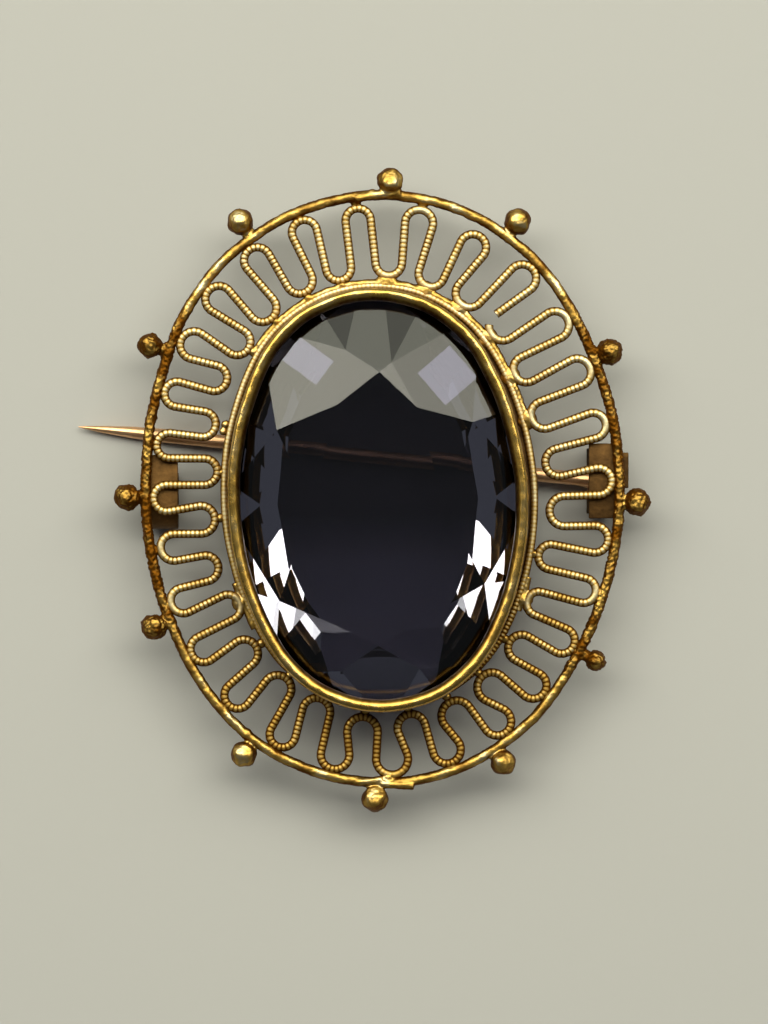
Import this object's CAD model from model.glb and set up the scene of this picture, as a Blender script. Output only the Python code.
"""Looks of the oval gold scatter pin: ridged wirework, wire rim, collet, cut stone and studio light."""

import math
from collections import namedtuple

import bmesh
import bpy
import numpy as np
from mathutils import Matrix, Vector, noise


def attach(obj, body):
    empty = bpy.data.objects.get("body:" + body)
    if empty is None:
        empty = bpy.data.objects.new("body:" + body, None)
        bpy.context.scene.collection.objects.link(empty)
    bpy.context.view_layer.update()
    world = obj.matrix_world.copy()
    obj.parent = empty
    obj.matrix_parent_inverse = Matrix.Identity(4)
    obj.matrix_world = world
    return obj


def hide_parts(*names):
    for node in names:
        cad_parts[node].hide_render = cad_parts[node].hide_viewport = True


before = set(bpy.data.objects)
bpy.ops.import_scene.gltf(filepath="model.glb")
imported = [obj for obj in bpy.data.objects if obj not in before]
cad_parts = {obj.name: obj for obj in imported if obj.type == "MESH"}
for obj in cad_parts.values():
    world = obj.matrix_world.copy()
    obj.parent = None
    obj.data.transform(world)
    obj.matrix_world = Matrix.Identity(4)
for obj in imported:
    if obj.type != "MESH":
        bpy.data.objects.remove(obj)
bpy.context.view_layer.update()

# Millimetres, in the frame of the CAD model: the face looks up along +Z and the long axis runs along Y.
# A clock angle is measured round an oval from its +Y end, clockwise as seen from above.
MM = 0.001

# Rim wire, with its own corner radius in each quarter as a share of the half width
RIM_HALF_WIDTH = 14.59
RIM_HALF_LENGTH = 18.07
RIM_SHARES = (0.89, 0.875, 0.905, 0.945)
RIM_WIRE = 0.66
RIM_HEIGHT = 3.0

# Base ring and its flange
RING_X = -0.2
RING_Y = -0.45
BAND_SIDE_WIDTH = 5.04
BAND_END_WIDTH = 5.12
RING_SHARES = (0.88,) * 4
RING_WIRE = 0.46
FLANGE_THICKNESS = 0.3
FLANGE_OUTER = -0.06
FLANGE_INNER = -1.2
FLANGE_STEPS = 360
FOOT_HEIGHT = RIM_HEIGHT - FLANGE_THICKNESS
RING_STEPS = 1800
RING_SIDES = 14
RING_WANDER = 0.03
RING_SEED = 9.0
RING_RIDGE_PITCH = 0.26

# The base ring's ridges are faint all round, and deeper by an extra near one clock angle
RING_RIDGE_DEPTH = 0.006
RING_RIDGE_EXTRA = 0.035
RING_RIDGE_CLOCK = 140
RING_RIDGE_SPREAD = 18

# Stretches between two clock angles where solder has flooded the ridges
Stretch = namedtuple("Stretch", "start end")
RIM_FLOODS = (Stretch(8, 12), Stretch(52, 78), Stretch(108, 114), Stretch(176, 179), Stretch(245, 259))
RING_FLOODS = (Stretch(2, 72), Stretch(114, 124), Stretch(234, 248))

# Stretches where an apron of solder fills the corner between the base ring and the inner turns
RING_APRONS = (Stretch(0, 72), Stretch(114, 124), Stretch(234, 248), Stretch(312, 360))
APRON_RADIUS = 0.25
APRON_OUT = 0.2
APRON_DROP = 0.08
APRON_STEP = 0.5

# Collet and its lip
COLLET_X = -0.295
COLLET_Y = -0.695
COLLET_TURN = 2.5
COLLET_SHARES = (0.86,) * 4
LEDGE_SIDE_WIDTH = 0.32
LEDGE_END_WIDTH = -0.05
COLLET_STEPS = 720
COLLET_WANDER = 0.05
COLLET_WANDER_RATE = 0.4
COLLET_SEED = 5.0

# Only the lip's top is dented, and its top and outer side are polished
LIP_DENTED_OUT = -0.7
LIP_DENTED_HEIGHT = 6.3
LIP_POLISHED_OUT = -0.5
LIP_POLISHED_HEIGHT = 6.2

# Filigree wire
FILIGREE_WIRE = 0.54
TURN_RADIUS = 0.86
BROKEN_TURN_ANGLE = 45
BROKEN_LEG_SHARE = 0.98
RIDGE_PITCH = 0.272
RIDGE_DEPTH = 0.017
RIDGE_FULLNESS = 0.5
RIDGE_STEPS = 6
FILIGREE_SIDES = 12
FLOOD_REACH = 0.4
FLOOD_FADE = 0.7
LEFT_RIDGE_SHARE = 0.1

# Beads and necks, and how far a bead's metal reaches from its middle as a share of its diameter
BEAD_DIAMETER = 1.62
NECK_WIRE = 0.56
NECK_STEPS = 6
BEAD_REACH = 0.56

# Handwork: the rim wanders a little, soft dents lie on all the solder work, and fine pits are strongest
# over some stretches of the rim
RIM_STEPS = 720
RIM_SIDES = 20
RIM_WANDER = 0.05
RIM_SEED = 3.0
WANDER_RATE = 0.35
DENT_SIZE = 0.5
DENT_SEED = 1.7
SOLDER_DENT_DEPTH = 0.05
RIM_DENT_DEPTH = 0.036
BEAD_DENT_DEPTH = 0.1
LIP_DENT_SIZE = 0.6
LIP_DENT_DEPTH = 0.035
LIP_DENT_STRETCH = 4
PIT_SIZE = 0.16
PIT_SEED = 8.1
PIT_DEPTH = 0.05
RIM_PIT_SHARE = 0.4
SOLDER_PIT_SHARE = 0.5
PITTED_STRETCHES = (Stretch(58, 126), Stretch(243, 302))
PITTED_FADE = 6

# A lump of solder beside an oval: its clock angle, how far out its middle lies, and its radius
Lump = namedtuple("Lump", "clock out size")
LUMP_RISE = 0.06
LUMP_SQUASH = 0.8
RIM_LUMPS = (
    Lump(3.6, 0.1, 0.36),
    Lump(62.0, 0.05, 0.36),
    Lump(178.5, -0.3, 0.34),
    Lump(214.5, 0.0, 0.38),
    Lump(243.0, -0.05, 0.36),
    Lump(298.5, 0.05, 0.36),
    Lump(357.5, 0.08, 0.34),
)
RING_LUMPS = (
    Lump(289.4, 0.38, 0.26),
    Lump(291.4, 0.38, 0.26),
)

# A lapped end of wire that lies on the rim between two clock angles: how far out each end lies,
# and its radius
Lap = namedtuple("Lap", "start end out_start out_end size")
RIM_LAPS = (
    Lap(-6.7, 4.2, -0.1, 0.16, 0.29),
    Lap(172.6, 180.4, 0.3, 0.02, 0.28),
    Lap(180.0, 186.0, -0.16, 0.04, 0.27),
)
LAP_RISE = 0.12
LAP_STEPS = 24

# A blob of solder: its radius, its drop below the wires' middle, and its height as a share of its width
Blob = namedtuple("Blob", "radius drop squash")
BEAD_BLOB = Blob(0.42, 0.05, 0.7)
RIM_BLOB = Blob(0.34, 0.1, 0.7)
RING_BLOB = Blob(0.3, 0.12, 1.2)
FLOOD_BLOB = Blob(0.66, 0.12, 0.36 / 0.66)
BEAD_BLOB_OUT = 0.05
ROD_SIDES = 16
BALL_SEGMENTS = 24

# Hinge and catch
HINGE_INSET = 1.19
HINGE_X = RIM_HALF_WIDTH - HINGE_INSET
HINGE_Y = 0.5
HINGE_HEIGHT = 0.8
LUG_DIAMETER = 1.6
LUG_WIDTH = 1.2
LUG_NECK = 1.1
LUG_FACE = 0.81
LUG_SIDES = 48
LUG_SINK = 0.1
KNUCKLE_FACE = LUG_FACE + LUG_WIDTH
RIVET_HOLE = 0.54
PLATE_THICKNESS = 0.35
PLATE_TOP = 2.72
PLATE_INWARD = 0.7
PLATE_OUTWARD = 1.2
PLATE_HALF_LENGTH = 2.31
TAB_Y = 1.15
TAB_WIDTH = 2.2
TAB_REACH = 0.23
CATCH_INSET = 0.99
CATCH_WIDTH = 2.0
CATCH_THICKNESS = 0.4
CATCH_TOP = 2.72
CATCH_BASE_END = 2.1
CATCH_BEND_Y = -1.1
CATCH_ARM = 1.5
CATCH_LIP_RADIUS = 0.6
CATCH_LIP_ANGLE = 50
CATCH_BEND_STEPS = 24
CATCH_LIP_STEPS = 8
STRIP_BEVEL = 0.06
BEVEL_SEGMENTS = 3
BEVEL_ANGLE = 35

# Solder work is fused at this grain, then smoothed, and fills gaps up to a share of the filigree wire.
# At this grain rim_wire has about 183,000 triangles, and the limit is 200,000.
GRAIN = 0.07
SMOOTHING = 3
SOLDER_GAP = 0.45

# Grime: how dark grooves and the sides of round metal are, from 0 for bright to 1 for brown
GROOVE_GRIME = 12
SIDE_GRIME = 0.95
SIDE_RISE = 0.88
RIM_GRIME = 0.19
SOLDER_GRIME = 0.24
MOTTLE_GRIME = 0.36
BEAD_GRIME = 0.1
PIT_GRIME = 0.25
FOOT_GRIME = 0.28
LIP_GRIME = 0.27
COLLET_GRIME = 0.55
FLANGE_GRIME = 0.45
PLATE_GRIME = 0.45
LUG_GRIME = 0.5
CATCH_GRIME = 0.35
MOTTLE_SIZE = 0.9
MOTTLE_SEED = 4.4

# Gold is bright, worn and dark at these sums of its grime and of shares of two noises, and it is
# rougher with grime
BRIGHT_AT = 0.32
WORN_AT = 0.64
DARK_AT = 1.0
PATCH_SCALE = 700
PATCH_SHARE = 0.5
SPECK_SCALE = 4200
SPECK_DETAIL = 5.0
SPECK_SHARE = 0.25
SPECK_DEPTH = 0.00004
GRIME_ROUGHNESS = 0.25

# Golds, from bright to worn to dark, and the tints of the stone
Shades = namedtuple("Shades", "bright worn dark")
WORKED_GOLD = Shades((0.77, 0.69, 0.45), (0.54, 0.34, 0.08), (0.13, 0.048, 0.004))
FITTING_GOLD = Shades((0.5, 0.3, 0.1), (0.17, 0.09, 0.03), (0.03, 0.016, 0.008))
STEM_GOLD = Shades((0.9, 0.55, 0.3), (0.6, 0.33, 0.14), (0.2, 0.1, 0.04))
CROWN_TINT = (0.34, 0.335, 0.43)
PAVILION_TOP_TINT = (0.032, 0.03, 0.04)
PAVILION_FOOT_TINT = (0.12, 0.115, 0.17)
STONE_INDEX = 1.55

# The crown's tint starts at the girdle's middle height, and the pavilion's tint changes over a length
# along Y round a middle
GIRDLE_MIDDLE = 5.2
CROWN_BLEND = 0.02
ZONE_SCALE = 130
ZONE_SHARE = 0.02
PAVILION_FADE = 3.0
PAVILION_MIDDLE = -3.0

# The camera looks straight down, and the view's height is measured at the rim
VIEW_HEIGHT = 63.02
VIEW_X = 0.092
VIEW_Y = -1.415
CAMERA_HEIGHT = 600
SENSOR = 36

# The floor's half side and the lights' distance are in metres
FLOOR_HALF_SIDE = 2.0
FLOOR_COLOUR = (0.42, 0.42, 0.415)
WORLD_COLOUR = (0.9, 0.95, 1.0)
WORLD_STRENGTH = 0.1
LIGHT_DISTANCE = 0.5

# One strip of the big north window: its zenith angle and height in degrees, its width and its radiance
Strip = namedtuple("Strip", "zenith height width radiance colour")
HIGH_SKY = (1.0, 0.97, 0.8)
LOW_SKY = (1.0, 1.0, 0.8)
WINDOW = (
    Strip(26, 24, 1.1, 5.4, HIGH_SKY),
    Strip(43, 10, 1.4, 4.0, HIGH_SKY),
    Strip(51.5, 7, 1.5, 2.9, LOW_SKY),
    Strip(59, 8, 1.6, 1.4, LOW_SKY),
)

# A lilac patch that the camera sees mirrored on the stone's crown: its place and its size.
# A patch's panel is larger than the patch by a factor, because the camera's rays spread on their way to it.
Glint = namedtuple("Glint", "x y width height")
GLINTS = (
    Glint(4.0, 7.0, 2.6, 2.6),
    Glint(-4.6, 7.9, 1.8, 2.6),
)
GLINT_DISTANCE = 0.42
GLINT_SPREAD = 1 + GLINT_DISTANCE / (CAMERA_HEIGHT * MM)
GLINT_RADIANCE = 4.0
GLINT_COLOUR = (0.7, 0.68, 1.0)

# One fold of the filigree: an inner turn at the base ring, then an outer turn at the rim.
# A gap is a share of the wire's thickness, and below zero the turn is pressed into its solder.
# A size is a share of the usual turn radius.
Fold = namedtuple("Fold", "inner_clock inner_gap inner_size outer_clock outer_gap outer_size")
FOLDS = (
    Fold(45.4, 0.05, 1.0, 53.5, -0.25, 1.0),
    Fold(58.2, 0.03, 0.95, 64.9, -0.25, 1.0),
    Fold(71.0, 0.05, 1.0, 76.7, -0.25, 0.92),
    Fold(83.5, 0.58, 1.0, 88.4, -0.25, 0.97),
    Fold(95.6, 0.8, 1.08, 100.5, -0.25, 0.97),
    Fold(107.4, 0.05, 0.9, 111.6, -0.25, 0.9),
    Fold(120.0, 0.1, 0.86, 123.5, -0.25, 0.93),
    Fold(132.6, 0.15, 0.97, 135.4, -0.25, 0.97),
    Fold(145.7, 0.1, 1.05, 147.7, -0.25, 1.0),
    Fold(158.7, 0.4, 1.1, 162.5, -0.25, 1.0),
    Fold(173.0, 0.2, 1.0, 177.4, -0.25, 1.14),
    Fold(188.4, 0.38, 1.09, 192.8, -0.25, 1.02),
    Fold(203.8, -0.25, 1.0, 207.4, -0.25, 0.93),
    Fold(216.9, 0.0, 1.0, 222.0, -0.15, 0.95),
    Fold(229.7, 0.33, 1.0, 235.0, -0.45, 0.95),
    Fold(242.5, -0.25, 0.93, 246.3, -0.35, 0.92),
    Fold(253.9, 0.8, 0.93, 257.7, 0.05, 0.96),
    Fold(266.1, 0.25, 1.0, 268.1, -0.2, 0.95),
    Fold(278.2, -0.12, 0.95, 279.0, -0.1, 0.9),
    Fold(290.1, 0.8, 0.92, 289.8, -0.25, 0.9),
    Fold(302.2, 1.0, 0.93, 300.6, -0.25, 1.0),
    Fold(313.2, 0.3, 0.95, 312.2, -0.25, 0.97),
    Fold(324.4, 0.3, 1.0, 325.1, -0.15, 0.95),
    Fold(337.6, 0.4, 0.95, 338.9, -0.1, 0.9),
    Fold(350.2, 0.2, 0.9, 353.4, 0.2, 0.9),
    Fold(6.2, 0.3, 0.95, 10.0, 0.1, 1.0),
    Fold(20.0, 0.1, 0.93, 25.8, 0.6, 0.95),
    Fold(32.6, 0.1, 1.0, 40.4, -0.25, 1.0),
)

# One bead: its place round the rim, its size as a share of a bead, and how far its centre
# stands off the rim's outer edge as a share of a bead.
Bead = namedtuple("Bead", "clock size stand")
BEADS = (
    Bead(1.7, 1.0, 0.35),
    Bead(31.5, 1.02, 0.49),
    Bead(63.5, 1.0, 0.42),
    Bead(92.4, 1.05, 0.47),
    Bead(123.7, 0.8, 0.5),
    Bead(151.8, 0.97, 0.37),
    Bead(181.7, 1.0, 0.42),
    Bead(212.4, 0.98, 0.46),
    Bead(243.5, 0.98, 0.44),
    Bead(268.5, 1.0, 0.5),
    Bead(297.2, 0.95, 0.54),
    Bead(327.1, 1.02, 0.53),
)

# The collet's section: how far out of its wall a point lies, and its height.
Section = namedtuple("Section", "out height")
COLLET_SECTION = (
    Section(-0.88, 2.7),
    Section(-0.05, 2.7),
    Section(0.0, 3.2),
    Section(0.0, 6.1),
    Section(-0.02, 6.32),
    Section(-0.08, 6.46),
    Section(-0.17, 6.54),
    Section(-0.3, 6.57),
    Section(-0.46, 6.55),
    Section(-0.6, 6.49),
    Section(-0.7, 6.38),
    Section(-0.77, 6.22),
    Section(-0.8, 6.05),
    Section(-0.7, 5.98),
    Section(-0.45, 5.85),
    Section(-0.36, 5.7),
    Section(-0.34, 4.5),
    Section(-0.88, 4.5),
)


class Oval:
    """An oval of tangent arcs round a centre, with its long axis along Y before it is turned.

    Each quarter is an end arc and a side arc. A quarter is named by the signs of its x and y.
    """

    QUARTERS = ((1, 1), (1, -1), (-1, -1), (-1, 1))

    def __init__(self, centre, turn, half_width, half_length, end_radii):
        self.centre = centre
        self.turn = turn
        self.half_width = half_width
        self.half_length = half_length
        self.end_radii = end_radii

    def grown(self, by):
        """The oval that lies outside this one by a constant distance."""
        radii = [radius + by for radius in self.end_radii]
        return Oval(self.centre, self.turn, self.half_width + by, self.half_length + by, radii)

    def at(self, clock):
        """The outline's point at a clock angle, and the direction straight out from it."""
        angle = math.radians(clock)
        ray = Vector((self.half_width * math.sin(angle), self.half_length * math.cos(angle))).normalized()
        side = 1 if ray.x >= 0 else -1
        end = 1 if ray.y >= 0 else -1
        end_radius = self.end_radii[self.QUARTERS.index((side, end))]
        spread = self.half_width**2 + self.half_length**2 - 2 * self.half_length * end_radius
        side_radius = spread / (2 * (self.half_width - end_radius))
        rise = self.half_length - end_radius
        meeting = math.atan2(rise, side_radius - self.half_width)
        centre = Vector((0, end * rise))
        meeting_point = centre + Vector((side * math.cos(meeting), end * math.sin(meeting))) * end_radius
        radius = end_radius
        if abs(ray.x * meeting_point.y) > abs(ray.y * meeting_point.x):
            radius = side_radius
            centre = Vector((side * (self.half_width - radius), 0))
        along = ray.dot(centre)
        point = ray * (along + math.sqrt(along**2 - centre.length_squared + radius**2))
        outward = (point - centre) / radius
        rotation = Matrix.Rotation(math.radians(self.turn), 2)
        return self.centre + rotation @ point, rotation @ outward


def rounded_oval(x, y, turn, half_width, half_length, shares):
    """An oval whose end radii are shares of its half width, clockwise from the top right."""
    return Oval(Vector((x, y)), turn, half_width, half_length, [half_width * share for share in shares])


rim = rounded_oval(0, 0, 0, RIM_HALF_WIDTH, RIM_HALF_LENGTH, RIM_SHARES)
ring = rounded_oval(
    RING_X,
    RING_Y,
    COLLET_TURN,
    RIM_HALF_WIDTH - BAND_SIDE_WIDTH,
    RIM_HALF_LENGTH - BAND_END_WIDTH,
    RING_SHARES,
)
collet = rounded_oval(
    COLLET_X,
    COLLET_Y,
    COLLET_TURN,
    ring.half_width - LEDGE_SIDE_WIDTH,
    ring.half_length - LEDGE_END_WIDTH,
    COLLET_SHARES,
)
rim_inside = rim.grown(-RIM_WIRE / 2)
rim_outside = rim.grown(RIM_WIRE / 2)
ring_outside = ring.grown(RING_WIRE / 2)


# Meshes


def mesh_of(name, points, faces):
    """A mesh from points in millimetres."""
    mesh = bpy.data.meshes.new(name)
    mesh.from_pydata([tuple(point) for point in points], [], [tuple(face) for face in faces])
    mesh.validate()
    return mesh


def set_attribute(mesh, name, values):
    """Store one number for each point of a mesh."""
    layer = mesh.attributes.new(name, "FLOAT", "POINT")
    layer.data.foreach_set("value", np.asarray(values, dtype=np.float32))


def piece(mesh, material, body="setting"):
    """Turn a mesh in millimetres into a finished piece that rides on a body."""
    mesh.transform(Matrix.Scale(MM, 4))
    mesh.polygons.foreach_set("use_smooth", [True] * len(mesh.polygons))
    mesh.materials.append(material)
    obj = bpy.data.objects.new(mesh.name, mesh)
    bpy.context.collection.objects.link(obj)
    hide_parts("setting")
    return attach(obj, body)


def grid_faces(rows, columns, closed_rows, closed_columns):
    """The quads of a grid of points, row by row, with either direction closed into a loop or not."""
    faces = []
    for i in range(rows if closed_rows else rows - 1):
        for j in range(columns if closed_columns else columns - 1):
            a = i * columns + j
            b = i * columns + (j + 1) % columns
            c = (i + 1) % rows * columns + (j + 1) % columns
            d = (i + 1) % rows * columns + j
            faces.append((a, b, c, d))
    return faces


def tube(path, radii, sides, closed):
    """Points and faces of a round wire along a level path, given as rows of x, y and z.

    The radii are one for each point of the path, or one for all.
    """
    path = np.asarray(path, dtype=float)
    if closed:
        ahead = np.roll(path, -1, axis=0) - np.roll(path, 1, axis=0)
    else:
        ahead = np.gradient(path, axis=0)
    ahead /= np.linalg.norm(ahead, axis=1)[:, None]
    left = np.column_stack([-ahead[:, 1], ahead[:, 0], np.zeros(len(path))])
    left /= np.linalg.norm(left, axis=1)[:, None]
    up = np.cross(ahead, left)
    angles = np.linspace(0, 2 * np.pi, sides, endpoint=False)
    radii = np.broadcast_to(radii, len(path))
    offset = left[:, None] * np.cos(angles)[None, :, None] + up[:, None] * np.sin(angles)[None, :, None]
    points = (path[:, None] + offset * radii[:, None, None]).reshape(-1, 3)
    faces = grid_faces(len(path), sides, closed, True)
    if not closed:
        faces.append(tuple(range(sides))[::-1])
        faces.append(tuple(range((len(path) - 1) * sides, len(path) * sides)))
    return points, faces


def oval_path(oval, height, count, wander, seed):
    """A closed path round an oval, with a little wander in and out as in handwork."""
    path = []
    for i in range(count):
        point, outward = oval.at(360 * i / count)
        drift = wander * noise.noise(Vector((point.x, point.y, seed)) * WANDER_RATE)
        place = point + outward * drift
        path.append((place.x, place.y, height))
    return np.array(path)


def add_ball(parts, centre, radius, squash=1):
    """Add a ball to a list of closed parts, with its height as a share of its width."""
    ball = bmesh.new()
    bmesh.ops.create_uvsphere(ball, u_segments=BALL_SEGMENTS, v_segments=BALL_SEGMENTS // 2, radius=radius)
    shape = Matrix.Diagonal((1, 1, squash))
    points = [Vector(centre) + shape @ vert.co for vert in ball.verts]
    faces = [[vert.index for vert in face.verts] for face in ball.faces]
    ball.free()
    parts.append((points, faces))


def add_blob(parts, spot, blob):
    """Add a blob of solder at a place seen from above to a list of closed parts."""
    add_ball(parts, (*spot, RIM_HEIGHT - blob.drop), blob.radius, blob.squash)


def join(parts):
    """The points and faces of several closed parts as one list."""
    points, faces = [], []
    for part_points, part_faces in parts:
        start = len(points)
        points += [tuple(point) for point in part_points]
        faces += [tuple(start + index for index in face) for face in part_faces]
    return points, faces


def fused(name, parts):
    """One closed mesh from several closed parts that overlap, melted together as solder does."""
    loose = mesh_of("melting", *join(parts))
    rough = bpy.data.objects.new("melting", loose)
    bpy.context.collection.objects.link(rough)
    remesh = rough.modifiers.new("melt", "REMESH")
    remesh.mode = "VOXEL"
    remesh.voxel_size = GRAIN
    smooth = rough.modifiers.new("smooth", "SMOOTH")
    smooth.factor = 0.5
    smooth.iterations = SMOOTHING
    depsgraph = bpy.context.evaluated_depsgraph_get()
    mesh = bpy.data.meshes.new_from_object(rough.evaluated_get(depsgraph))
    mesh.name = name
    bpy.data.objects.remove(rough)
    bpy.data.meshes.remove(loose)
    return mesh


def arrays(mesh):
    """The points and normals of a mesh as arrays."""
    points = np.empty(len(mesh.vertices) * 3, dtype=np.float32)
    normals = np.empty(len(mesh.vertices) * 3, dtype=np.float32)
    mesh.vertices.foreach_get("co", points)
    mesh.vertex_normals.foreach_get("vector", normals)
    return points.reshape(-1, 3), normals.reshape(-1, 3)


def side_grime(rise):
    """Grime on metal whose normals rise by a given amount: none on top, more down the sides."""
    return SIDE_GRIME * np.clip((SIDE_RISE - np.asarray(rise)) / SIDE_RISE, 0, 1)


def foot_grime(points):
    """Grime on the wirework that rises from the oval's middle towards its foot."""
    return FOOT_GRIME * np.clip(-points[:, 1] / RIM_HALF_LENGTH, 0, 1)


def roughen(points, size, seed):
    """A soft noise at each point, from about -1 to 1, with features a size apart in millimetres."""
    return np.array([noise.noise(Vector(point) / size + Vector((seed, 0, 0))) for point in points])


# Materials


def add_node(tree, kind, **inputs):
    """Add a shader node and set its inputs by name."""
    made = tree.nodes.new(kind)
    for name, value in inputs.items():
        made.inputs[name.replace("_", " ")].default_value = value
    return made


def noise_at(tree, coordinates, scale, detail=3.0):
    """A noise value over the object's own coordinates."""
    made = add_node(tree, "ShaderNodeTexNoise", Scale=scale, Detail=detail)
    tree.links.new(coordinates.outputs["Object"], made.inputs["Vector"])
    return made.outputs["Fac"]


def ramp(tree, value, *stops):
    """A colour ramp through (place, colour) stops."""
    made = tree.nodes.new("ShaderNodeValToRGB")
    elements = made.color_ramp.elements
    while len(elements) < len(stops):
        elements.new(0.5)
    for element, (place, colour) in zip(elements, stops):
        element.position = place
        element.color = (*colour, 1)
    tree.links.new(value, made.inputs["Fac"])
    return made.outputs["Color"]


def maths(tree, operation, *values):
    """One maths node over sockets or plain numbers."""
    made = tree.nodes.new("ShaderNodeMath")
    made.operation = operation
    for socket, value in zip(made.inputs, values):
        if isinstance(value, (int, float)):
            socket.default_value = value
        else:
            tree.links.new(value, socket)
    return made.outputs["Value"]


def gold(name, shades, roughness, bump):
    """Gold that goes from bright to worn to dark brown where the grime attribute rises."""
    material = bpy.data.materials.new(name)
    material.use_nodes = True
    tree = material.node_tree
    shader = tree.nodes["Principled BSDF"]
    shader.inputs["Metallic"].default_value = 1
    coordinates = tree.nodes.new("ShaderNodeTexCoord")
    grime = tree.nodes.new("ShaderNodeAttribute")
    grime.attribute_name = "grime"
    patches = noise_at(tree, coordinates, PATCH_SCALE)
    specks = noise_at(tree, coordinates, SPECK_SCALE, SPECK_DETAIL)
    dirt = maths(tree, "MULTIPLY_ADD", patches, PATCH_SHARE, grime.outputs["Fac"])
    dirt = maths(tree, "MULTIPLY_ADD", specks, SPECK_SHARE, dirt)
    colour = ramp(tree, dirt, (BRIGHT_AT, shades.bright), (WORN_AT, shades.worn), (DARK_AT, shades.dark))
    tree.links.new(colour, shader.inputs["Base Color"])
    rough = maths(tree, "MULTIPLY_ADD", dirt, GRIME_ROUGHNESS, roughness)
    tree.links.new(rough, shader.inputs["Roughness"])
    dents = add_node(tree, "ShaderNodeBump", Strength=bump, Distance=SPECK_DEPTH)
    tree.links.new(specks, dents.inputs["Height"])
    tree.links.new(dents.outputs["Normal"], shader.inputs["Normal"])
    return material


def stone_material(name, crown, pavilion_top, pavilion_foot):
    """Clear stone, with one tint on its crown, and on its pavilion a tint that changes from top to foot."""
    material = bpy.data.materials.new(name)
    material.use_nodes = True
    tree = material.node_tree
    shader = tree.nodes["Principled BSDF"]
    shader.inputs["Roughness"].default_value = 0
    shader.inputs["IOR"].default_value = STONE_INDEX
    coordinates = tree.nodes.new("ShaderNodeTexCoord")
    split = tree.nodes.new("ShaderNodeSeparateXYZ")
    tree.links.new(coordinates.outputs["Object"], split.inputs["Vector"])
    height = maths(tree, "MULTIPLY_ADD", split.outputs["Z"], 1 / (2 * GIRDLE_MIDDLE * MM), 0)
    zones = noise_at(tree, coordinates, ZONE_SCALE, 1.0)
    place = maths(tree, "MULTIPLY_ADD", zones, ZONE_SHARE, height)
    is_crown = ramp(tree, place, (0.5, (0, 0, 0)), (0.5 + CROWN_BLEND, (1, 1, 1)))
    level = 0.5 - PAVILION_MIDDLE / (2 * PAVILION_FADE)
    rise = maths(tree, "MULTIPLY_ADD", split.outputs["Y"], 1 / (2 * PAVILION_FADE * MM), level)
    pavilion = ramp(tree, rise, (0.25, pavilion_foot), (0.75, pavilion_top))
    tint = tree.nodes.new("ShaderNodeMixRGB")
    tint.inputs["Color2"].default_value = (*crown, 1)
    tree.links.new(is_crown, tint.inputs["Fac"])
    tree.links.new(pavilion, tint.inputs["Color1"])
    tree.links.new(tint.outputs["Color"], shader.inputs["Base Color"])
    shader.inputs["Transmission Weight"].default_value = 1
    return material


wire_gold = gold("wire_gold", WORKED_GOLD, 0.38, 0.3)
solder_gold = gold("solder_gold", WORKED_GOLD, 0.24, 0.6)
collet_gold = gold("collet_gold", WORKED_GOLD, 0.1, 0.25)
fitting_gold = gold("fitting_gold", FITTING_GOLD, 0.4, 0.5)
stem_gold = gold("stem_gold", STEM_GOLD, 0.3, 0.4)
amethyst = stone_material("amethyst", CROWN_TINT, PAVILION_TOP_TINT, PAVILION_FOOT_TINT)


# The filigree wire


# One turn of the wavy wire: its centre, its radius, the way it bends (1 for anticlockwise, -1 for
# clockwise) and the direction from its centre to its outermost point
Turn = namedtuple("Turn", "centre radius way outermost")


def filigree_turn(oval, inward, clock, gap, size):
    """One turn of the wavy wire beside an oval, on its inward side if inward is 1, else outside it if -1."""
    point, outward = oval.at(clock)
    radius = TURN_RADIUS * size
    centre = point - outward * inward * (radius + FILIGREE_WIRE * (0.5 + gap))
    return Turn(centre, radius, -inward, outward * inward)


def filigree_turns():
    """The turns of the wavy wire in order, from the inner turn at the break."""
    turns = []
    for fold in FOLDS:
        turns += [filigree_turn(ring_outside, -1, fold.inner_clock, fold.inner_gap, fold.inner_size)]
        turns += [filigree_turn(rim_inside, 1, fold.outer_clock, fold.outer_gap, fold.outer_size)]
    return turns


def tangent_leg(turn, following):
    """The straight leg from one turn to the next, which bends the other way."""
    between = following.centre - turn.centre
    reach = turn.radius + following.radius
    length = math.sqrt(between.length_squared - reach**2)
    heading = Matrix.Rotation(turn.way * math.atan2(reach, length), 2) @ between.normalized()
    left = Vector((-heading.y, heading.x)) * turn.way
    return turn.centre - left * turn.radius, following.centre + left * following.radius


def filigree_path(step):
    """The wavy centre line as points a step apart, from the break round to the break."""
    turns = filigree_turns()
    first = turns[0]
    turn_back = Matrix.Rotation(math.radians(-BROKEN_TURN_ANGLE), 2)
    entry = first.centre + turn_back @ first.outermost * first.radius
    path = []
    for turn, following in zip(turns, turns[1:] + turns[:1]):
        leg_start, leg_end = tangent_leg(turn, following)
        start = entry - turn.centre
        sweep = -turn.way * start.angle_signed(leg_start - turn.centre) % (2 * math.pi)
        count = max(2, round(sweep * turn.radius / step))
        for i in range(count):
            spoke = Matrix.Rotation(turn.way * sweep * i / count, 2) @ start
            path.append(turn.centre + spoke)
        if following is first:
            leg_end = leg_start.lerp(leg_end, BROKEN_LEG_SHARE)
        length = (leg_end - leg_start).length
        count = max(1, round(length / step))
        path += [leg_start.lerp(leg_end, i / count) for i in range(count)]
        entry = leg_end
    return [(point.x, point.y, RIM_HEIGHT) for point in path]


def solder_contacts(oval, inward, folds):
    """The clock angle and the middle of each solder joint beside an oval, where the gap isn't too wide."""
    contacts = []
    for clock, gap in folds:
        if gap < SOLDER_GAP:
            point, outward = oval.at(clock)
            contacts.append((clock, point - outward * inward * FILIGREE_WIRE * max(gap, 0) / 2))
    return contacts


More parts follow.
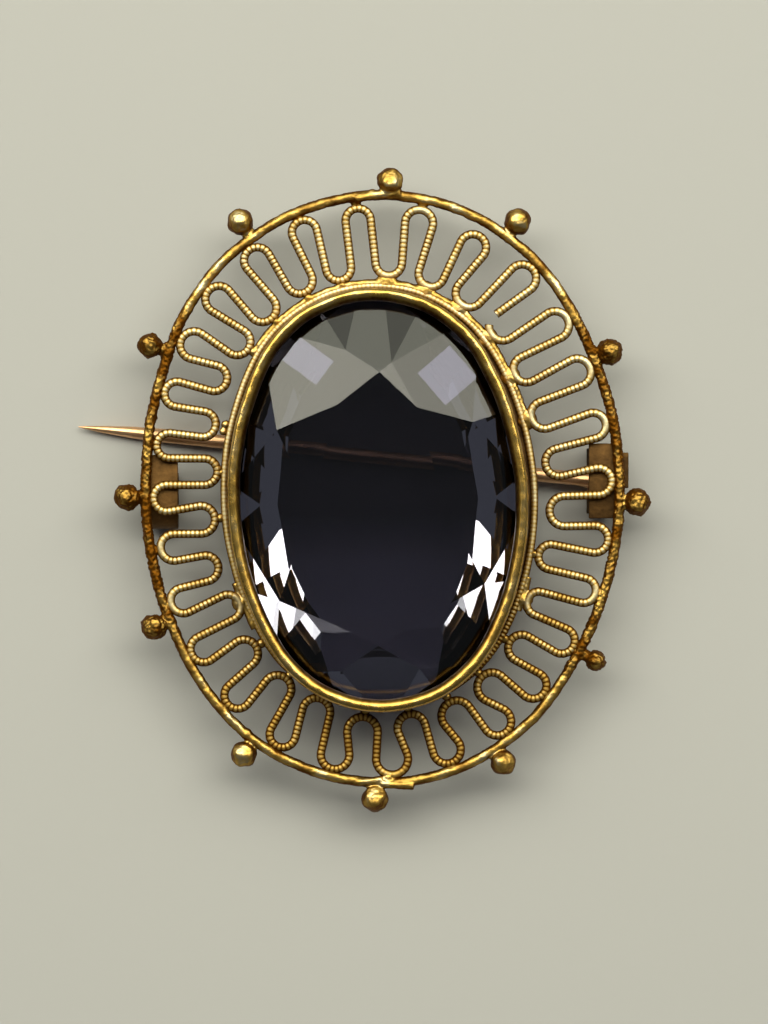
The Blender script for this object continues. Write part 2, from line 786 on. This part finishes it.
def is_flooded(clock, stretches):
    """Whether a clock angle lies in one of several stretches."""
    return any(stretch.start <= clock <= stretch.end for stretch in stretches)


rim_contacts = solder_contacts(rim_inside, 1, [(fold.outer_clock, fold.outer_gap) for fold in FOLDS])
ring_contacts = solder_contacts(ring_outside, -1, [(fold.inner_clock, fold.inner_gap) for fold in FOLDS])


def ridged_wire(name, path, thickness, pitch, depth, sides, closed):
    """A piece of ridged wire along a level path, dark in its grooves and down its sides."""
    steps = np.linalg.norm(np.diff(path, axis=0), axis=1)
    along = np.concatenate([[0], np.cumsum(steps)])
    ridge = np.abs(np.sin(np.pi * along / pitch)) ** RIDGE_FULLNESS
    sink = depth * (1 - ridge)
    radius = thickness / 2
    points, faces = tube(path, radius - sink, sides, closed)
    mesh = mesh_of(name, points, faces)
    groove = np.repeat(sink, sides) / radius
    rise = (points[:, 2] - RIM_HEIGHT) / radius
    set_attribute(mesh, "grime", GROOVE_GRIME * groove + side_grime(rise) + foot_grime(points))
    return piece(mesh, wire_gold)


def build_filigree():
    """The long ridged wire between the base ring and the rim, with its ridges flooded at the joints."""
    path = np.array(filigree_path(RIDGE_PITCH / RIDGE_STEPS))
    contacts = [tuple(spot) for clock, spot in rim_contacts if is_flooded(clock, RIM_FLOODS)]
    contacts += [tuple(spot) for clock, spot in ring_contacts if is_flooded(clock, RING_FLOODS)]
    nearest = np.linalg.norm(path[:, None, :2] - np.array(contacts)[None], axis=2).min(axis=1)
    depth = RIDGE_DEPTH * np.clip((nearest - FLOOD_REACH) / FLOOD_FADE, LEFT_RIDGE_SHARE, 1)
    return ridged_wire("filigree_wire", path, FILIGREE_WIRE, RIDGE_PITCH, depth, FILIGREE_SIDES, False)


# The rim with its beads


def add_neck(parts, start, end):
    """Add a bead's short round neck between two places seen from above to a list of closed parts."""
    steps = [start.lerp(end, i / NECK_STEPS) for i in range(NECK_STEPS + 1)]
    path = [(step.x, step.y, RIM_HEIGHT) for step in steps]
    parts.append(tube(path, NECK_WIRE / 2, ROD_SIDES, False))


def clock_of(points):
    """The clock angle of each point round the rim's centre."""
    angles = np.arctan2(points[:, 0] / RIM_HALF_WIDTH, points[:, 1] / RIM_HALF_LENGTH)
    return np.degrees(angles) % 360


def within(clocks, stretch, fade):
    """1 for clock angles in a stretch, falling to 0 over a fade outside it."""
    return np.clip(np.minimum(clocks - stretch.start, stretch.end - clocks) / fade + 1, 0, 1)


def hand_finish(mesh, dents, pits):
    """Dent a fused mesh softly by a depth, and pit it finely by a share of the pits' depth."""
    points, normals = arrays(mesh)
    shift = dents * roughen(points, DENT_SIZE, DENT_SEED)
    shift += pits * PIT_DEPTH * roughen(points, PIT_SIZE, PIT_SEED)
    points = points + normals * shift[:, None]
    mesh.vertices.foreach_set("co", points.ravel())
    mesh.update()


def bead_middle(bead):
    """Where a bead's centre lies, seen from above."""
    edge, outward = rim_outside.at(bead.clock)
    return edge + outward * bead.stand * BEAD_DIAMETER


def add_lumps(parts, oval, lumps):
    """Add lumps of solder along an oval to a list of closed parts."""
    for lump in lumps:
        point, outward = oval.at(lump.clock)
        add_ball(parts, (*(point + outward * lump.out), RIM_HEIGHT + LUMP_RISE), lump.size, LUMP_SQUASH)


def add_lap(parts, lap):
    """Add a lapped end of wire, which lies beside the rim's middle line, to a list of closed parts."""
    path = []
    for i in range(LAP_STEPS + 1):
        share = i / LAP_STEPS
        point, outward = rim.at(lap.start + (lap.end - lap.start) * share)
        place = point + outward * (lap.out_start + (lap.out_end - lap.out_start) * share)
        path.append((place.x, place.y, RIM_HEIGHT + LAP_RISE))
    parts.append(tube(path, lap.size, ROD_SIDES, False))


def add_bead(parts, bead):
    """Add a bead, its neck and the solder at the neck's root to a list of closed parts."""
    edge, outward = rim_outside.at(bead.clock)
    middle = bead_middle(bead)
    add_neck(parts, edge - outward * RIM_WIRE / 2, middle)
    add_ball(parts, (*middle, RIM_HEIGHT), bead.size * BEAD_DIAMETER / 2)
    add_blob(parts, edge + outward * BEAD_BLOB_OUT, BEAD_BLOB)


def build_rim():
    """The rim wire, its beads on their necks, and the solder that holds the wirework's outer turns."""
    path = oval_path(rim, RIM_HEIGHT, RIM_STEPS, RIM_WANDER, RIM_SEED)
    parts = [tube(path, RIM_WIRE / 2, RIM_SIDES, True)]
    for bead in BEADS:
        add_bead(parts, bead)
    for clock, spot in rim_contacts:
        add_blob(parts, spot, RIM_BLOB)
    add_lumps(parts, rim, RIM_LUMPS)
    for lap in RIM_LAPS:
        add_lap(parts, lap)
    mesh = fused("rim_wire", parts)
    points, normals = arrays(mesh)
    clocks = clock_of(points)
    pits = RIM_PIT_SHARE + sum(within(clocks, stretch, PITTED_FADE) for stretch in PITTED_STRETCHES)
    middles = np.array([(*bead_middle(bead), RIM_HEIGHT) for bead in BEADS])
    beside = np.linalg.norm(points[:, None] - middles[None], axis=2).min(axis=1)
    on_bead = beside < BEAD_DIAMETER * BEAD_REACH
    hand_finish(mesh, np.where(on_bead, BEAD_DENT_DEPTH, RIM_DENT_DEPTH), pits)
    points, normals = arrays(mesh)
    grime = side_grime(normals[:, 2]) + np.where(on_bead, BEAD_GRIME, RIM_GRIME) + PIT_GRIME * pits
    set_attribute(mesh, "grime", grime + MOTTLE_GRIME * roughen(points, MOTTLE_SIZE, MOTTLE_SEED))
    return piece(mesh, solder_gold)


# The base ring


def build_base_ring():
    """The ridged wire round the collet's foot, with strong ridges at one place and faint ones elsewhere."""
    path = oval_path(ring, RIM_HEIGHT, RING_STEPS, RING_WANDER, RING_SEED)
    clocks = 360 * np.arange(RING_STEPS) / RING_STEPS
    strong = np.exp(-(((clocks - RING_RIDGE_CLOCK) / RING_RIDGE_SPREAD) ** 2))
    depth = RING_RIDGE_DEPTH + RING_RIDGE_EXTRA * strong
    return ridged_wire("base_ring", path, RING_WIRE, RING_RIDGE_PITCH, depth, RING_SIDES, True)


def add_apron(parts, stretch):
    """Add an apron of solder along the outside of the base ring to a list of closed parts."""
    path = []
    for i in range(int((stretch.end - stretch.start) / APRON_STEP) + 1):
        point, outward = ring.at(stretch.start + i * APRON_STEP)
        place = point + outward * APRON_OUT
        path.append((place.x, place.y, RIM_HEIGHT - APRON_DROP))
    parts.append(tube(path, APRON_RADIUS, ROD_SIDES, False))


def build_ring_solder():
    """The solder that holds the inner turns, and the aprons of it along the base ring."""
    parts = []
    for clock, spot in ring_contacts:
        add_blob(parts, spot, FLOOD_BLOB if is_flooded(clock, RING_FLOODS) else RING_BLOB)
    for stretch in RING_APRONS:
        add_apron(parts, stretch)
    add_lumps(parts, ring, RING_LUMPS)
    mesh = fused("ring_solder", parts)
    hand_finish(mesh, SOLDER_DENT_DEPTH, SOLDER_PIT_SHARE)
    points, normals = arrays(mesh)
    set_attribute(mesh, "grime", side_grime(normals[:, 2]) + SOLDER_GRIME)
    return piece(mesh, solder_gold)


def build_flange():
    """The thin flange that carries the base ring."""
    top = FOOT_HEIGHT + FLANGE_THICKNESS
    corners = [(FLANGE_OUTER, FOOT_HEIGHT), (FLANGE_INNER, FOOT_HEIGHT)]
    corners += [(FLANGE_INNER, top), (FLANGE_OUTER, top)]
    points = []
    for out, height in corners:
        edge = ring.grown(out)
        points += [(*edge.at(360 * i / FLANGE_STEPS)[0], height) for i in range(FLANGE_STEPS)]
    mesh = mesh_of("flange", points, grid_faces(len(corners), FLANGE_STEPS, True, True))
    set_attribute(mesh, "grime", np.full(len(points), FLANGE_GRIME))
    return piece(mesh, fitting_gold)


# The collet


def lip_dent(spot, place):
    """How far a point of the collet's section is raised or sunk by the dents in the lip's top."""
    if place.out <= LIP_DENTED_OUT or place.height <= LIP_DENTED_HEIGHT:
        return 0
    where = Vector((spot.x, spot.y, place.out * LIP_DENT_STRETCH))
    return LIP_DENT_DEPTH * noise.noise(where / LIP_DENT_SIZE)


def build_collet():
    """The collet's wall, seat and rubbed-over lip, lathed round its oval with a little wander."""
    points = []
    grime = []
    for i in range(COLLET_STEPS):
        base, outward = collet.at(360 * i / COLLET_STEPS)
        drift = COLLET_WANDER * noise.noise(Vector((base.x, base.y, COLLET_SEED)) * COLLET_WANDER_RATE)
        for place in COLLET_SECTION:
            spot = base + outward * (place.out + drift)
            height = place.height + lip_dent(spot, place) - LIP_DENT_DEPTH / 2
            points.append((spot.x, spot.y, height))
            polished = place.out > LIP_POLISHED_OUT and place.height > LIP_POLISHED_HEIGHT
            grime.append(LIP_GRIME if polished else COLLET_GRIME)
    mesh = mesh_of("collet", points, grid_faces(COLLET_STEPS, len(COLLET_SECTION), True, True))
    set_attribute(mesh, "grime", grime)
    return piece(mesh, collet_gold)


# The hinge and the catch


def bevelled(obj, width):
    """Round the sharp edges of a piece a little."""
    bevel = obj.modifiers.new("edges", "BEVEL")
    bevel.width = width * MM
    bevel.segments = BEVEL_SEGMENTS
    bevel.limit_method = "ANGLE"
    bevel.angle_limit = math.radians(BEVEL_ANGLE)
    return obj


def prism(name, outline, axis, start, end, grime):
    """A mesh between two copies of a flat outline, at two places along an axis: 0, 1 or 2 for X, Y or Z."""
    count = len(outline)
    points = []
    for place in (start, end):
        for spot in outline:
            point = list(spot)
            point.insert(axis, place)
            points.append(point)
    faces = [tuple(range(count)), tuple(range(2 * count - 1, count - 1, -1))]
    faces += [(i, i + count, (i + 1) % count + count, (i + 1) % count) for i in range(count)]
    mesh = mesh_of(name, points, faces)
    fix_normals(mesh)
    set_attribute(mesh, "grime", np.full(len(points), grime))
    return mesh


def fix_normals(mesh):
    """Point all the faces of a closed mesh outwards."""
    work = bmesh.new()
    work.from_mesh(mesh)
    bmesh.ops.recalc_face_normals(work, faces=work.faces)
    work.to_mesh(mesh)
    work.free()


def build_hinge_plate():
    """The plate under the rim with its tab that shows outside."""
    inner = HINGE_X - PLATE_INWARD
    outer = HINGE_X + PLATE_OUTWARD
    tab_edge = RIM_HALF_WIDTH + RIM_WIRE / 2 + TAB_REACH
    tab_low = TAB_Y - TAB_WIDTH / 2
    tab_high = TAB_Y + TAB_WIDTH / 2
    low = HINGE_Y - PLATE_HALF_LENGTH
    high = HINGE_Y + PLATE_HALF_LENGTH
    outline = [(inner, low), (outer, low), (outer, tab_low), (tab_edge, tab_low)]
    outline += [(tab_edge, tab_high), (outer, tab_high), (outer, high), (inner, high)]
    mesh = prism("hinge_plate", outline, 2, PLATE_TOP - PLATE_THICKNESS, PLATE_TOP, PLATE_GRIME)
    return bevelled(piece(mesh, fitting_gold), STRIP_BEVEL)


def build_lug(name, start, end):
    """One outer knuckle: a round eye on a short neck, drilled for the rivet."""
    top = PLATE_TOP - LUG_SINK - HINGE_HEIGHT
    outer, inner = [], []
    for i in range(LUG_SIDES):
        angle = 2 * math.pi * i / LUG_SIDES
        across, up = math.cos(angle), math.sin(angle)
        x = across * LUG_DIAMETER / 2
        z = up * LUG_DIAMETER / 2
        if z > 0 and abs(x) < LUG_NECK / 2:
            z = top
        outer.append((HINGE_X + x, HINGE_HEIGHT + z))
        inner.append((HINGE_X + across * RIVET_HOLE / 2, HINGE_HEIGHT + up * RIVET_HOLE / 2))
    rings = ((start, outer), (end, outer), (end, inner), (start, inner))
    points = [(x, y, z) for y, outline in rings for x, z in outline]
    mesh = mesh_of(name, points, grid_faces(len(rings), LUG_SIDES, True, True))
    fix_normals(mesh)
    set_attribute(mesh, "grime", np.full(len(points), LUG_GRIME))
    return bevelled(piece(mesh, fitting_gold), STRIP_BEVEL / 2)


def arc_line(y, z, radius, start, sweep, steps):
    """Points along an arc in the upright plane through the catch, each with the angle of its spoke."""
    line = []
    for i in range(steps + 1):
        angle = start + sweep * i / steps
        turn = math.radians(angle)
        line.append(((y + radius * math.cos(turn), z + radius * math.sin(turn)), angle))
    return line


def build_catch():
    """The catch strip, bent into a hook that opens towards the stem."""
    base_height = CATCH_TOP - CATCH_THICKNESS / 2
    arm_height = CATCH_THICKNESS / 2
    bend_radius = (base_height - arm_height) / 2
    bend_height = (base_height + arm_height) / 2
    line = [((CATCH_BASE_END, base_height), 90)]
    line += arc_line(CATCH_BEND_Y, bend_height, bend_radius, 90, 180, CATCH_BEND_STEPS)
    lip_y = CATCH_BEND_Y + CATCH_ARM
    lip_z = arm_height + CATCH_LIP_RADIUS
    line += arc_line(lip_y, lip_z, CATCH_LIP_RADIUS, 270, CATCH_LIP_ANGLE, CATCH_LIP_STEPS)
    outside, inside = [], []
    for (y, z), angle in line:
        turn = math.radians(angle)
        reach = Vector((math.cos(turn), math.sin(turn))) * CATCH_THICKNESS / 2
        outside.append((y + reach.x, z + reach.y))
        inside.append((y - reach.x, z - reach.y))
    middle = CATCH_INSET - RIM_HALF_WIDTH
    side = CATCH_WIDTH / 2
    mesh = prism("catch", outside + inside[::-1], 0, middle - side, middle + side, CATCH_GRIME)
    return bevelled(piece(mesh, fitting_gold), STRIP_BEVEL)


build_filigree()
build_rim()
build_base_ring()
build_ring_solder()
build_flange()
build_collet()
build_hinge_plate()
build_lug("lug_far", HINGE_Y + LUG_FACE, HINGE_Y + KNUCKLE_FACE)
build_lug("lug_near", HINGE_Y - KNUCKLE_FACE, HINGE_Y - LUG_FACE)
build_catch()


# The nodes of the CAD model that stay

for node, material in (("stone", amethyst), ("pin_stem", stem_gold), ("hinge_rivet", fitting_gold)):
    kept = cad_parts[node]
    kept.data.materials.clear()
    kept.data.materials.append(material)


# Floor, light and camera


def build_floor():
    """A plain pale floor under the brooch."""
    mesh = bpy.data.meshes.new("floor")
    side = FLOOR_HALF_SIDE
    corners = [(-side, -side, 0), (side, -side, 0), (side, side, 0), (-side, side, 0)]
    mesh.from_pydata(corners, [], [(0, 1, 2, 3)])
    floor = bpy.data.objects.new("floor", mesh)
    bpy.context.collection.objects.link(floor)
    material = bpy.data.materials.new("floor_paper")
    material.use_nodes = True
    shader = material.node_tree.nodes["Principled BSDF"]
    shader.inputs["Base Color"].default_value = (*FLOOR_COLOUR, 1)
    shader.inputs["Roughness"].default_value = 0.9
    mesh.materials.append(material)


def add_light(name, place, aim, size, radiance, colour):
    """A panel of light, size wide and high in metres, that looks from its place to where it aims."""
    data = bpy.data.lights.new(name, "AREA")
    data.shape = "RECTANGLE"
    data.size, data.size_y = size
    data.energy = radiance * math.pi * data.size * data.size_y
    data.color = colour
    light = bpy.data.objects.new(name, data)
    light.location = place
    light.rotation_euler = (place - aim).to_track_quat("Z", "Y").to_euler()
    bpy.context.collection.objects.link(light)


def add_window():
    """The big north window, graded from a bright top strip to a dim foot."""
    for strip in WINDOW:
        zenith = math.radians(strip.zenith)
        place = Vector((0, math.sin(zenith), math.cos(zenith))) * LIGHT_DISTANCE
        size = (strip.width, 2 * LIGHT_DISTANCE * math.tan(math.radians(strip.height / 2)))
        add_light(f"window_{strip.zenith:.0f}", place, Vector(), size, strip.radiance, strip.colour)


def add_glints():
    """Small lilac panels, each placed where the camera sees it mirrored at one spot of the stone's crown."""
    eye = Vector((VIEW_X, VIEW_Y, CAMERA_HEIGHT)) * MM
    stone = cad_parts["stone"]
    to_stone = stone.matrix_world.inverted()
    for number, glint in enumerate(GLINTS):
        ahead = (Vector((glint.x, glint.y, RIM_HEIGHT)) * MM - eye).normalized()
        found, spot, normal, face = stone.ray_cast(to_stone @ eye, to_stone.to_3x3() @ ahead)
        spot = stone.matrix_world @ spot
        normal = (stone.matrix_world.to_3x3() @ normal).normalized()
        place = spot + ahead.reflect(normal) * GLINT_DISTANCE
        size = (glint.width * GLINT_SPREAD * MM, glint.height * GLINT_SPREAD * MM)
        add_light(f"glint_{number}", place, spot, size, GLINT_RADIANCE, GLINT_COLOUR)


def build_world():
    """Weak even light from all round."""
    world = bpy.data.worlds.new("studio")
    world.use_nodes = True
    background = world.node_tree.nodes["Background"]
    background.inputs["Color"].default_value = (*WORLD_COLOUR, 1)
    background.inputs["Strength"].default_value = WORLD_STRENGTH
    bpy.context.scene.world = world


def build_camera():
    """A camera straight above, whose long side frames the view height at the rim."""
    data = bpy.data.cameras.new("camera")
    data.sensor_width = SENSOR
    data.lens = SENSOR * (CAMERA_HEIGHT - RIM_HEIGHT) / VIEW_HEIGHT
    data.clip_start = 0.1
    data.clip_end = 10
    camera = bpy.data.objects.new("camera", data)
    camera.location = Vector((VIEW_X, VIEW_Y, CAMERA_HEIGHT)) * MM
    bpy.context.collection.objects.link(camera)
    bpy.context.scene.camera = camera


bpy.context.scene.view_settings.view_transform = "Standard"
build_floor()
add_window()
add_glints()
build_world()
build_camera()
